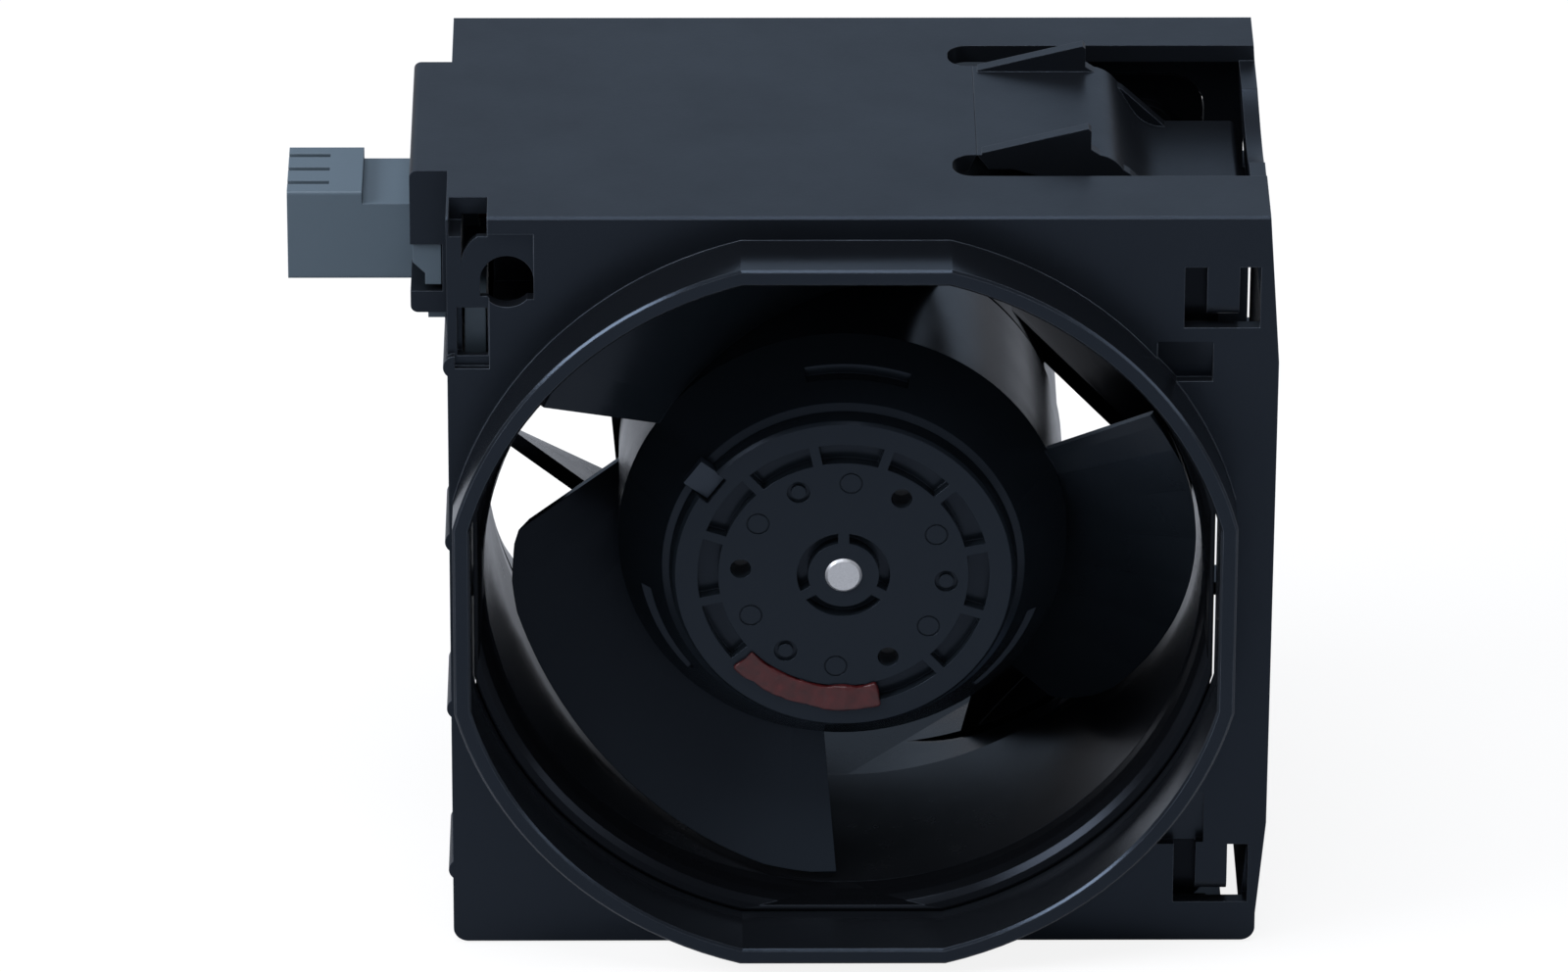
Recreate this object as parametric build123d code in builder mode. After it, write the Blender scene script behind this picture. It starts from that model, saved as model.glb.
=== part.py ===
from build123d import *
import os
from math import atan2, cos, pi, radians, sin, sqrt, tan

# Server fan module: a hot-swap carrier with a collar, a release latch and a side plug,
# around a 60 mm square axial fan with a three-blade impeller on an outer-rotor motor.
# Millimetres. Z is up, X runs from the plug side to the latch end, the air goes towards +Y.
# The origin is on the base, under the fan axis, at half the depth of the carrier.

# Carrier, outer sizes
carrier_height = 66.2
carrier_depth = 38.0
left_reach = 32.0
right_reach = 34.0
axis_height = 32.5
side_wall = 1.2
base_wall = 1.4
top_wall = 1.5
front_wall = 1.2
corner_round = 1.2
top_bevel = 0.22
bow = 0.9
bow_start = 2.5
bow_low_end = 11.0
bow_high_end = 13.0
bow_taper = 0.15
nub_height = 0.35
nub_radius = 1.0
nub_length = 9.0
nub_levels = (52.8, 37.0, 21.7, 6.7)

# Inlet collar on the front wall
collar_radius = 32.75
collar_flat = 31.65
collar_wall = 1.4
collar_reach = 5.6
collar_lip_round = 0.2

# Fan frame
fan_size = 60.0
fan_depth = 38.0
inlet_lip = 1.2
flange = 4.0
flange_round = 3.0
throat_radius = 29.3
inlet_radius = 31.0
inlet_flat = 29.9
inlet_length = 3.4
outlet_radius = 32.4
outlet_flat = 29.4
outlet_length = 16.0
corner_box = 10.2
barrel_wall = 0.6
hole_pitch = 50.0
hole_radius = 2.15
screw_cap = 1.2
frame_gap = 0.8
seat_gap = 0.1
back_rim_low = 21.4
back_rim_left = 12.0

# Stator: one straight strut for the leads and five vanes set aslant to the air
strut_count = 6
strut_first = 131.5
strut_pitch = 57.4
strut_lean = 48.5
strut_thickness = 1.3
vane_start = 28.5
vane_turn = 11.0
lead_strut_width = 2.7
lead_trough = 1.4
lead_floor = 0.6

# Motor base
base_radius = 18.2
base_cup_depth = 11.8
cup_wall = 1.3
floor_thickness = 1.6
floor_recess = 3.0
hub_boss_radius = 6.2

# Impeller
hub_face = 2.8
face_radius = 13.95
face_thickness = 2.3
step_radius = 14.3
step_depth = 1.5
hub_radius = 18.4
shoulder_depth = 7.2
hub_end = 26.0
hub_wall = 1.1
blade_count = 3
blade_thickness = 1.25
edge_thickness = 0.7
tip_gap = 0.4
lead_root = (18.4, 265.5, 10.0)
lead_tip = (28.9, 269.2, 4.3)
trail_root = (18.4, 182.0, 25.0)
trail_tip = (28.9, 191.5, 20.0)
blade_sink = 0.6
boss_radius = 2.9
ring_groove_radius = 3.8
ring_groove_depth = 1.2
spoke_width = 0.9
spoke_angles = (90, 210, 330)
mark_circle = 8.4
mark_count = 12
mark_first = 26.0
sight_hole_radius = 0.85
sight_hole_first = 56.0
dimple_radius = 0.95
dimple_depth = 0.35
pocket_inner = 10.2
pocket_outer = 11.9
pocket_depth = 1.1
rib_width = 0.8
rib_first = 12.0
slot_radius = 16.6
slot_width = 1.2
slot_span = 30.0
slot_first = 86.0
slot_depth = 1.0

# Balance pieces on the hub
tab_angle = 143.5
tab_size = 2.4
tab_height = 0.9
tab_radius = 14.1
putty_start = 224.0
putty_end = 284.0
putty_height = 0.35

# Shaft and bearings
shaft_radius = 1.5
shaft_start = 2.6
shaft_end = 31.6
bush_radius = 3.2
bush_length = 4.2
press_gap = 0.02
bearing_outer = 4.0
bearing_width = 4.0
front_bearing = 10.0
rear_bearing = 25.4
ball_radius = 0.75
ball_count = 7
race_gap = 0.03
ring_land = 0.75
cage_wall = 0.36
cage_width = 2.3
cage_gap = 0.1
sleeve_wall = 0.9
sleeve_start = 9.6
sleeve_end = 33.2
spring_wire = 0.22
spring_radius = 2.05
spring_turns = 3
clip_radius = 2.9
clip_thickness = 0.4
clip_groove = 0.35
washer_thickness = 0.3

# Rotor yoke and magnet
yoke_wall = 0.9
yoke_gap = 0.05
yoke_end = 24.6
magnet_thickness = 2.0
magnet_start = 11.6
magnet_end = 23.6

# Stator
air_gap = 0.5
tooth_count = 6
stack_start = 13.0
stack_end = 20.6
tooth_width = 2.6
core_hub = 6.9
insulator_hub = 7.2
pin_ring = 6.65
shoe_thickness = 1.2
shoe_span = 46.0
insulator_thickness = 0.7
coil_build = 1.5
coil_start = 7.4
coil_length = 4.0
coil_gap = 0.05
post_radius = 0.35

# Drive board
board_start = 27.6
board_thickness = 1.0
board_radius = 16.2
chip_size = (4.0, 4.0, 0.9)
chip_radius = 11.4
chip_angle = 60.0
sensor_size = (3.0, 1.5, 1.2)
sensor_radius = 14.6
sensor_angle = 20.0
capacitor_radius = 1.5
capacitor_height = 1.9
capacitor_ring = 11.6
capacitor_angles = (215.0, 245.0)
label_radius = 15.6
label_thickness = 0.15

# Latch: a sprung tongue cut out of the top wall
slot_left = 8.7
latch_front = 7.6
latch_back = 32.5
latch_slot = 4.0
slot_end_round = 1.7
hinge_offset = 2.0
hinge_gap = 0.02
relief_angle = 24.0
crest_at = 19.7
crest_height = 2.3
rib_thickness = 1.1
rim_height = 0.45
slope_end = 26.6
pad_drop = 5.0
pad_end = 32.3
tongue_wall = 1.3
skirt_depth = 2.2
wall_drop = 1.4
scallop_depth = 2.2
scallop_width = 14.0

# Front windows and corner recess
window_right = (27.2, 33.3)
window_high = (23.8, 29.2)
window_low = (-28.9, -23.5)
post_across = (29.0, 31.6)
post_drop = 4.6
post_curl = 1.4
arm_inner = 30.15
post_reach = 8.8
corner_pocket = (25.1, 29.6)
pocket_high = (19.0, 22.6)
pocket_low = (-23.5, -18.5)
pocket_slope_depth = 0.9
side_window = (-31.2, -28.7)
side_window_level = (21.1, 25.4)
recess_right = -25.0
recess_step = -28.6
recess_low = 26.4
recess_foot = 20.2
recess_depth = 0.6
arch_centre = (-27.15, 27.85)
arch_radius = 2.15
arch_pocket = (-28.7, -24.5)
arch_pocket_level = (25.4, 30.6)
arch_pocket_depth = 3.4
plate_round = 2.9
edge_notch = (-31.8, -28.7)
edge_notch_depth = 3.8
base_slot = (31.4, 33.4)
base_slot_depth = (3.0, 19.0)
guide_rib = 1.2
stop_rib = 34.1
wall_notch = (6.0, 20.0)
wall_notch_start = 24.0

# Plug bracket and connector
bracket_reach = 3.1
bracket_front = 8.7
bracket_back = 29.4
bracket_height = 12.7
bracket_wall = 1.2
bracket_window = (22.9, 27.1)
bracket_window_right = -32.5
plug_top = 61.5
plug_height = 7.9
plug_width = 8.6
plug_centre = 18.9
plug_reach = 13.2
plug_inset = 2.4
plug_gap = 0.1
plug_ledge = 1.1
plug_ledge_length = 4.0
contact_pitch = 2.54
contact_count = 3
row_pitch = 3.5
slot_length = 3.4
slot_gap = 0.6
cell_size = 1.7
cell_roof = 0.7
cell_mouth = 0.9
mouth_wall = 1.6
ear_left = -34.9
ear_level = (23.4, 27.0)
ear_cut = 1.0
keeper_across = (-30.6, -28.9)
keeper_depth = (9.2, 14.3)
keeper_level = (15.5, 26.0)
keeper_foot = (-33.7, 20.2, 20.85)
keeper_lug = (20.4, 24.9)
keeper_lug_start = 2.4
pin_width = 0.64
pin_length = 10.4
crimp_size = 1.5
crimp_length = 3.0

# Leads from the board to the plug
lead_radius = 0.55
lead_pitch = 1.15
lead_names = ("red", "black", "yellow", "blue")
lead_bend = 1.3
lead_first_level = 30.1
lead_row = -1.6
lead_first_pad = -13.6
pad_pitch = 1.4
lead_turn = 28.2
lead_first_run = -22.9
run_pitch = 1.2
lead_entry = 0.8

# Corner pads between the carrier and the fan
pad_size = 7.0

front_y = -carrier_depth / 2
fan_half = fan_size / 2
flange_front = front_wall + frame_gap
fan_front = flange_front - inlet_lip
fan_back = fan_front + fan_depth
tip_radius = throat_radius - tip_gap
hinge_x = slot_left + hinge_offset
tongue_front = latch_front + latch_slot
tongue_back = latch_back - latch_slot
tongue_width = tongue_back - tongue_front
latch_middle = front_y + (latch_front + latch_back) / 2
yoke_radius = hub_radius - hub_wall - yoke_gap
magnet_radius = yoke_radius - yoke_wall - press_gap
core_radius = magnet_radius - magnet_thickness - air_gap
sleeve_radius = bearing_outer + sleeve_wall
cup_front = fan_back - base_cup_depth
cup_middle = base_radius - cup_wall / 2
floor_front = fan_back - floor_recess - floor_thickness
pitch_radius = (bearing_outer + shaft_radius) / 2
inner_land = pitch_radius - (bearing_outer - shaft_radius) / 2 + ring_land
outer_land = bearing_outer - ring_land
top_level = carrier_height - axis_height
inner_left = -(left_reach - side_wall)
inner_right = right_reach - side_wall
inner_base = base_wall - axis_height
inner_top = top_level - top_wall
bracket_left = -(left_reach + bracket_reach)
bracket_low = carrier_height - bracket_height
plug_front = plug_centre - plug_width / 2
plug_back = plug_centre + plug_width / 2
plug_left = -(left_reach + plug_reach)
plug_right = -(left_reach - plug_inset)
plug_low = plug_top - plug_height
row_top = plug_top - plug_ledge - cell_roof - cell_size / 2
rows = (row_top, row_top - row_pitch)
columns = [plug_centre + contact_pitch * (k - 1) for k in range(contact_count)]


def facing(depth):
    """Plane square to the fan axis, so far behind the front wall, seen from the front."""
    return Plane(origin=(0, front_y + depth, axis_height), x_dir=(1, 0, 0), z_dir=(0, -1, 0))


def meridian(angle):
    """Half plane through the fan axis: x is the radius, y the depth behind the front wall."""
    turn = radians(angle)
    return Plane(
        origin=(0, front_y, axis_height),
        x_dir=(cos(turn), 0, sin(turn)),
        z_dir=(-sin(turn), 0, cos(turn)),
    )


def spot(radius, angle, depth):
    """Point at a radius and angle about the fan axis."""
    turn = radians(angle)
    return Vector(radius * cos(turn), front_y + depth, axis_height + radius * sin(turn))


def flatted(radius, flat):
    """Circle cut by four flats, drawn into the open sketch."""
    Circle(radius)
    Rectangle(2 * flat, 2 * flat, mode=Mode.INTERSECT)


def band(inner, outer, start, end, mode=Mode.ADD):
    """Plain ring about the fan axis, from one depth to another."""
    with BuildSketch(facing(start)) as circle:
        Circle(outer)
        if inner > 0:
            Circle(inner, mode=Mode.SUBTRACT)
    extrude(circle.sketch, amount=start - end, mode=mode)


def block(x_range, depth_range, z_range, mode=Mode.ADD):
    """Box by its X range, its depth range behind the front wall and its height range."""
    middle = (sum(x_range) / 2, front_y + sum(depth_range) / 2, sum(z_range) / 2)
    with Locations(middle):
        Box(
            x_range[1] - x_range[0],
            depth_range[1] - depth_range[0],
            z_range[1] - z_range[0],
            mode=mode,
        )


def above_axis(levels):
    """Heights over the base from heights over the fan axis."""
    return tuple(axis_height + level for level in levels)


def save(name, part):
    """Label a finished piece and write it as its own file."""
    part.label = name
    export_step(part, f"parts/{name}.step")


os.makedirs("parts", exist_ok=True)

# Carrier shell: box open at the back, collar, latch opening, windows and plug bracket
with BuildPart() as carrier_shell:
    with BuildSketch(facing(0)):
        with BuildLine():
            Polyline(
                (-left_reach, -axis_height),
                (right_reach, -axis_height),
                (right_reach, bow_start - axis_height),
                (right_reach + bow - bow_taper, bow_low_end - axis_height),
                (right_reach + bow, top_level - bow_high_end),
                (right_reach, top_level),
                (-left_reach, top_level),
                close=True,
            )
        make_face()
    extrude(amount=-carrier_depth)
    lower_edges = carrier_shell.edges().filter_by(Axis.Y).group_by(Axis.Z)[0]
    fillet(lower_edges, corner_round)
    top_front = carrier_shell.edges().group_by(Axis.Y)[0].sort_by(Axis.Z)[-1]
    chamfer(top_front, top_bevel)
    # Inside, open to the back, its right side following the bow
    with BuildSketch(facing(front_wall)):
        with BuildLine():
            Polyline(
                (inner_left, inner_base),
                (inner_right, inner_base),
                (inner_right, bow_start - axis_height),
                (inner_right + bow - bow_taper, bow_low_end - axis_height),
                (inner_right + bow, top_level - bow_high_end),
                (inner_right, inner_top),
                (inner_left, inner_top),
                close=True,
            )
        make_face()
    extrude(amount=front_wall - carrier_depth, mode=Mode.SUBTRACT)
    # Pockets beside the collar, deeper towards the lower edge
    for level in (pocket_high, pocket_low):
        with BuildSketch(Plane.YZ.offset(corner_pocket[0])):
            with BuildLine():
                Polyline(
                    (front_y - 0.01, axis_height + level[1]),
                    (front_y - 0.01, axis_height + level[0]),
                    (front_y + pocket_slope_depth, axis_height + level[0]),
                    close=True,
                )
            make_face()
        extrude(amount=corner_pocket[1] - corner_pocket[0], mode=Mode.SUBTRACT)
    # Corner plate set back from the front, with a rounded corner and an arched opening
    block(
        (-left_reach - 0.5, recess_right),
        (-0.5, recess_depth),
        above_axis((recess_low, inner_top)),
        mode=Mode.SUBTRACT,
    )
    block(
        (-left_reach - 0.5, recess_step),
        (-0.5, recess_depth),
        above_axis((recess_foot, recess_low + 0.1)),
        mode=Mode.SUBTRACT,
    )
    with BuildSketch(facing(-0.5)):
        with Locations(arch_centre):
            Circle(arch_radius)
        with Locations((arch_centre[0], (arch_centre[1] + recess_low) / 2)):
            Rectangle(2 * arch_radius, arch_centre[1] - recess_low)
        corner_x = inner_left + plate_round
        corner_z = inner_top - plate_round
        with BuildLine():
            Line((inner_left, corner_z), (inner_left, inner_top))
            Line((inner_left, inner_top), (corner_x, inner_top))
            RadiusArc((corner_x, inner_top), (inner_left, corner_z), -plate_round)
        make_face()
    extrude(amount=-(front_wall + 1), mode=Mode.SUBTRACT)
    block(
        edge_notch,
        (-0.5, edge_notch_depth),
        (carrier_height - top_wall - 0.5, carrier_height + 1),
        mode=Mode.SUBTRACT,
    )
    block(
        side_window,
        (-0.5, front_wall + 0.5),
        above_axis(side_window_level),
        mode=Mode.SUBTRACT,
    )
    # Windows of the right side
    for level in (window_high, window_low):
        block(
            window_right, (-0.5, front_wall + 0.5), above_axis(level), mode=Mode.SUBTRACT
        )
    # Collar
    with BuildSketch(facing(-collar_reach)):
        flatted(collar_radius, collar_flat)
    extrude(amount=-(collar_reach + front_wall))
    with BuildSketch(facing(-collar_reach)):
        flatted(collar_radius - collar_wall, collar_flat - collar_wall)
    extrude(amount=-(collar_reach + front_wall), mode=Mode.SUBTRACT)
    rim_edges = carrier_shell.edges().group_by(Axis.Y)[0]
    chamfer(rim_edges, collar_lip_round)
    # Nubs along the left wall
    for level in nub_levels:
        with BuildSketch(facing(0)):
            with Locations((-left_reach + nub_radius - nub_height, level - axis_height)):
                Circle(nub_radius)
            with Locations((-left_reach + nub_radius + side_wall / 2, level - axis_height)):
                Rectangle(2 * nub_radius, 2 * nub_radius, mode=Mode.SUBTRACT)
        extrude(amount=-nub_length)
    # Plug bracket
    block(
        (bracket_left, inner_left),
        (bracket_front, bracket_back),
        (bracket_low, carrier_height),
    )
    bracket_edges = carrier_shell.edges().filter_by(Axis.Y).sort_by(Axis.X)[0:2]
    fillet(bracket_edges, bracket_wall / 2)
    block(
        (bracket_left + bracket_wall, inner_left + 0.5),
        (bracket_front + bracket_wall, bracket_back - bracket_wall),
        (bracket_low + bracket_wall, carrier_height - top_wall),
        mode=Mode.SUBTRACT,
    )
    block(
        (bracket_left - 1, bracket_left + bracket_wall + 1),
        (plug_front - plug_gap, plug_back + plug_gap),
        (plug_low - plug_gap, plug_top - plug_ledge + plug_gap),
        mode=Mode.SUBTRACT,
    )
    block(
        (plug_left, inner_left + 0.1),
        (plug_front - plug_gap, plug_back + plug_gap),
        (plug_low - plug_gap, bracket_low + bracket_wall + 0.1),
        mode=Mode.SUBTRACT,
    )
    block(
        (bracket_left - 1, bracket_window_right),
        (bracket_front - 1, plug_front),
        above_axis(bracket_window),
        mode=Mode.SUBTRACT,
    )
    # Slit in the left wall for the foot of the keeper
    block(
        (-left_reach - 0.5, inner_left + 0.5),
        (keeper_depth[0], keeper_depth[1] - 1),
        (axis_height + keeper_foot[1] - plug_gap, bracket_low + bracket_wall + 0.1),
        mode=Mode.SUBTRACT,
    )
    block(
        (bracket_left - 1, -left_reach + 0.1),
        (keeper_depth[0] - plug_gap, keeper_depth[1] - 1 + plug_gap),
        (axis_height + keeper_foot[1] - 1, axis_height + keeper_foot[2] + plug_gap),
        mode=Mode.SUBTRACT,
    )
    # Latch opening with two rounded slot ends, and the undercut at the bending line
    with BuildSketch(Plane.XY.offset(carrier_height + 1)):
        with Locations(((hinge_x + inner_right) / 2, latch_middle)):
            Rectangle(inner_right - hinge_x, latch_back - latch_front)
        for slot_front in (latch_front, tongue_back):
            with Locations(((slot_left + hinge_x + 3) / 2, front_y + slot_front + latch_slot / 2)):
                RectangleRounded(hinge_x + 3 - slot_left, latch_slot, slot_end_round)
    extrude(amount=-(top_wall + 1.5), mode=Mode.SUBTRACT)
    with BuildSketch(Plane.XZ.offset(-(front_y + tongue_front - 0.5))):
        with BuildLine():
            Polyline(
                (hinge_x + 0.5, carrier_height),
                (hinge_x, carrier_height),
                (hinge_x - top_wall * tan(radians(relief_angle)), carrier_height - top_wall),
                (hinge_x + 0.5, carrier_height - top_wall),
                close=True,
            )
        make_face()
    extrude(amount=-(tongue_width + 1), mode=Mode.SUBTRACT)
    # Right wall lowered and scalloped where a finger reaches the pad
    block(
        (inner_right - 0.5, right_reach + bow + 1),
        (latch_front, latch_back),
        (carrier_height - wall_drop, carrier_height + 1),
        mode=Mode.SUBTRACT,
    )
    scallop_radius = scallop_width**2 / (8 * scallop_depth) + scallop_depth / 2
    scallop_low = carrier_height - wall_drop - scallop_depth
    with BuildSketch(Plane.YZ.offset(inner_right - 0.5)):
        with Locations((latch_middle, scallop_low + scallop_radius)):
            Circle(scallop_radius)
    extrude(amount=side_wall + bow + 1.5, mode=Mode.SUBTRACT)
    # Slot through the base, and a notch in the back edge of the right wall
    block(
        base_slot, base_slot_depth, (-1, base_wall + 0.2), mode=Mode.SUBTRACT
    )
    block(
        (inner_right - 0.5, right_reach + bow + 1),
        (wall_notch_start, carrier_depth + 1),
        above_axis(wall_notch),
        mode=Mode.SUBTRACT,
    )
    # Locating ribs that bear on the two flanges of the fan
    front_zone = (front_wall - 0.1, flange_front + flange)
    back_zone = (fan_back - flange, carrier_depth)
    for zone in (front_zone, back_zone):
        for x in (-22.0, -4.0):
            block(
                (x - guide_rib / 2, x + guide_rib / 2),
                zone,
                (axis_height + fan_half + seat_gap, carrier_height - top_wall + 0.2),
            )
        for x in (-24.0, 24.0):
            block(
                (x - guide_rib / 2, x + guide_rib / 2),
                zone,
                (base_wall - 0.2, axis_height - fan_half - seat_gap),
            )
        block(
            (fan_half + seat_gap, inner_right + bow + 0.2),
            zone,
            above_axis((-18.0 - guide_rib / 2, -18.0 + guide_rib / 2)),
        )
        for z in (-18.0, 15.0):
            block(
                (inner_left - 0.2, -fan_half - seat_gap),
                zone,
                above_axis((z - guide_rib / 2, z + guide_rib / 2)),
            )
    block(
        (fan_half + seat_gap, stop_rib),
        back_zone,
        above_axis((wall_notch[0] - 1.5, wall_notch[1] + 1.5)),
    )
    # Rim that closes the back above the fan and beside it, on the latch side
    with BuildSketch(facing(back_zone[0])):
        rim_right = inner_right + side_wall / 2
        rim_top = inner_top + top_wall / 2
        with Locations(((back_rim_left + rim_right) / 2, (back_rim_low + rim_top) / 2)):
            Rectangle(rim_right - back_rim_left, rim_top - back_rim_low)
        seat = fan_size + 2 * seat_gap
        RectangleRounded(seat, seat, flange_round + seat_gap, mode=Mode.SUBTRACT)
    extrude(amount=back_zone[0] - back_zone[1])
    # Snap posts in the windows: each hangs from the top edge, curls back and hooks the flange
    hook_start = flange_front + flange + seat_gap
    for level in (window_high, window_low):
        post_top = axis_height + level[1]
        post_low = post_top - post_drop
        with BuildSketch(Plane.YZ.offset(post_across[0])):
            with BuildLine():
                Polyline(
                    (front_y, post_top + 0.2),
                    (front_y, post_low + post_curl),
                )
                RadiusArc(
                    (front_y, post_low + post_curl),
                    (front_y + post_curl, post_low),
                    -post_curl,
                )
                Polyline(
                    (front_y + post_curl, post_low),
                    (front_y + flange_front - seat_gap, post_low),
                    (front_y + flange_front - seat_gap, post_top + 0.2),
                    (front_y, post_top + 0.2),
                )
            make_face()
        extrude(amount=post_across[1] - post_across[0])
        block(
            (arm_inner, post_across[1]),
            (flange_front - 1, post_reach),
            (post_low, post_top - 1),
        )
        block(
            (post_across[0], post_across[1]),
            (hook_start, post_reach),
            (post_low, post_top - 1),
        )
save("carrier_shell", carrier_shell.part)

# Release latch: tongue with two catch ribs, bending about a line at its root
pad_level = carrier_height - pad_drop
slope_run = slope_end - crest_at
slope_middle = crest_at + 0.5 * slope_run
with BuildPart() as release_latch:
    with BuildSketch(Plane.XZ.offset(-(front_y + tongue_front))):
        with BuildLine():
            Line((hinge_x + hinge_gap, carrier_height), (crest_at + 0.3, carrier_height))
            Spline(
                (crest_at + 0.3, carrier_height),
                (slope_middle, carrier_height - 0.45 * pad_drop),
                (slope_end, pad_level),
                tangents=((1, 0), (1, 0)),
            )
            Polyline(
                (slope_end, pad_level),
                (pad_end, pad_level),
                (pad_end, pad_level - tongue_wall),
                (slope_end - 0.6, pad_level - tongue_wall),
            )
            Spline(
                (slope_end - 0.6, pad_level - tongue_wall),
                (slope_middle - 0.8, carrier_height - 0.45 * pad_drop - tongue_wall),
                (crest_at - 0.3, carrier_height - tongue_wall),
                tangents=((-1, 0), (-1, 0)),
            )
            Polyline(
                (crest_at - 0.3, carrier_height - tongue_wall),
                (hinge_x + 1.0, carrier_height - tongue_wall),
                (hinge_x + hinge_gap, carrier_height),
            )
        make_face()
    extrude(amount=-tongue_width)
    for rib_front in (tongue_front, tongue_back - rib_thickness):
        with BuildSketch(Plane.XZ.offset(-(front_y + rib_front))):
            with BuildLine():
                Polyline(
                    (hinge_x + 0.4, carrier_height - 0.3),
                    (hinge_x + 0.4, carrier_height + 0.15),
                    (crest_at, carrier_height + crest_height),
                    (crest_at + 0.25, carrier_height + crest_height - 0.25),
                    (crest_at + 0.25, carrier_height + rim_height),
                    (slope_middle, carrier_height - 0.35 * pad_drop),
                    (slope_end, pad_level),
                    (slope_end - 1.2, pad_level - tongue_wall),
                    (crest_at + 1.0, carrier_height - tongue_wall - skirt_depth),
                    (hinge_x + 3.0, carrier_height - tongue_wall),
                    close=True,
                )
            make_face()
        extrude(amount=-rib_thickness)
    pad_edges = release_latch.edges().filter_by(Axis.Y).group_by(Axis.X)[-1]
    fillet(pad_edges, 0.4)
save("release_latch", release_latch.part)

# Corner pads between the front wall and the fan
pad_corners = ((-1, -1), (1, 1), (1, -1))
for number, corner in enumerate(pad_corners, 1):
    middle = fan_half - pad_size / 2
    with BuildPart() as corner_pad:
        with BuildSketch(facing(front_wall)):
            with Locations((corner[0] * middle, corner[1] * middle)):
                RectangleRounded(pad_size, pad_size, 1)
            Circle(collar_radius, mode=Mode.SUBTRACT)
            for level in (window_high, window_low):
                with Locations((sum(window_right) / 2, sum(level) / 2)):
                    Rectangle(
                        window_right[1] - window_right[0] + 0.6,
                        level[1] - level[0] + 0.6,
                        mode=Mode.SUBTRACT,
                    )
        extrude(amount=-frame_gap)
    save(f"corner_pad_{number}", corner_pad.part.solids().sort_by(SortBy.VOLUME)[-1])

# Fan frame: two flanges, a round barrel, an inlet lip, an outlet that opens into the corners
inlet_steps = 5
strut_lines = []
for index in range(strut_count):
    outer = radians(strut_first + index * strut_pitch)
    inner = outer + radians(strut_lean)
    start = Vector(cup_middle * cos(inner), cup_middle * sin(inner))
    end = Vector(throat_radius * cos(outer), throat_radius * sin(outer))
    strut_lines.append((start, (end - start).normalized()))
lead_start, lead_way = strut_lines[0]


def rail(line, start, length, width):
    """Rectangle along a strut line, in the open sketch."""
    origin, way = line
    middle = origin + way * (start + length / 2)
    with Locations((middle.X, middle.Y)):
        Rectangle(length, width, rotation=way.get_angle(Vector(1, 0)) * (1 if way.Y > 0 else -1))


with BuildPart() as stator_vanes:
    for origin, way in strut_lines[1:]:
        for depth, turn in ((vane_start, -vane_turn), (fan_back, 0)):
            with BuildSketch(facing(depth)):
                rail((origin.rotate(Axis.Z, turn), way.rotate(Axis.Z, turn)), 0, 32, strut_thickness)
        loft(ruled=True)
    with BuildSketch(facing(fan_back - outlet_length)):
        Circle(throat_radius + barrel_wall / 2)
    with BuildSketch(facing(fan_back)):
        flatted(outlet_radius + barrel_wall / 2, outlet_flat + barrel_wall / 2)
    loft(ruled=True, mode=Mode.INTERSECT)
    band(0, cup_middle, vane_start - 1, fan_back + 1, mode=Mode.SUBTRACT)

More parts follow.
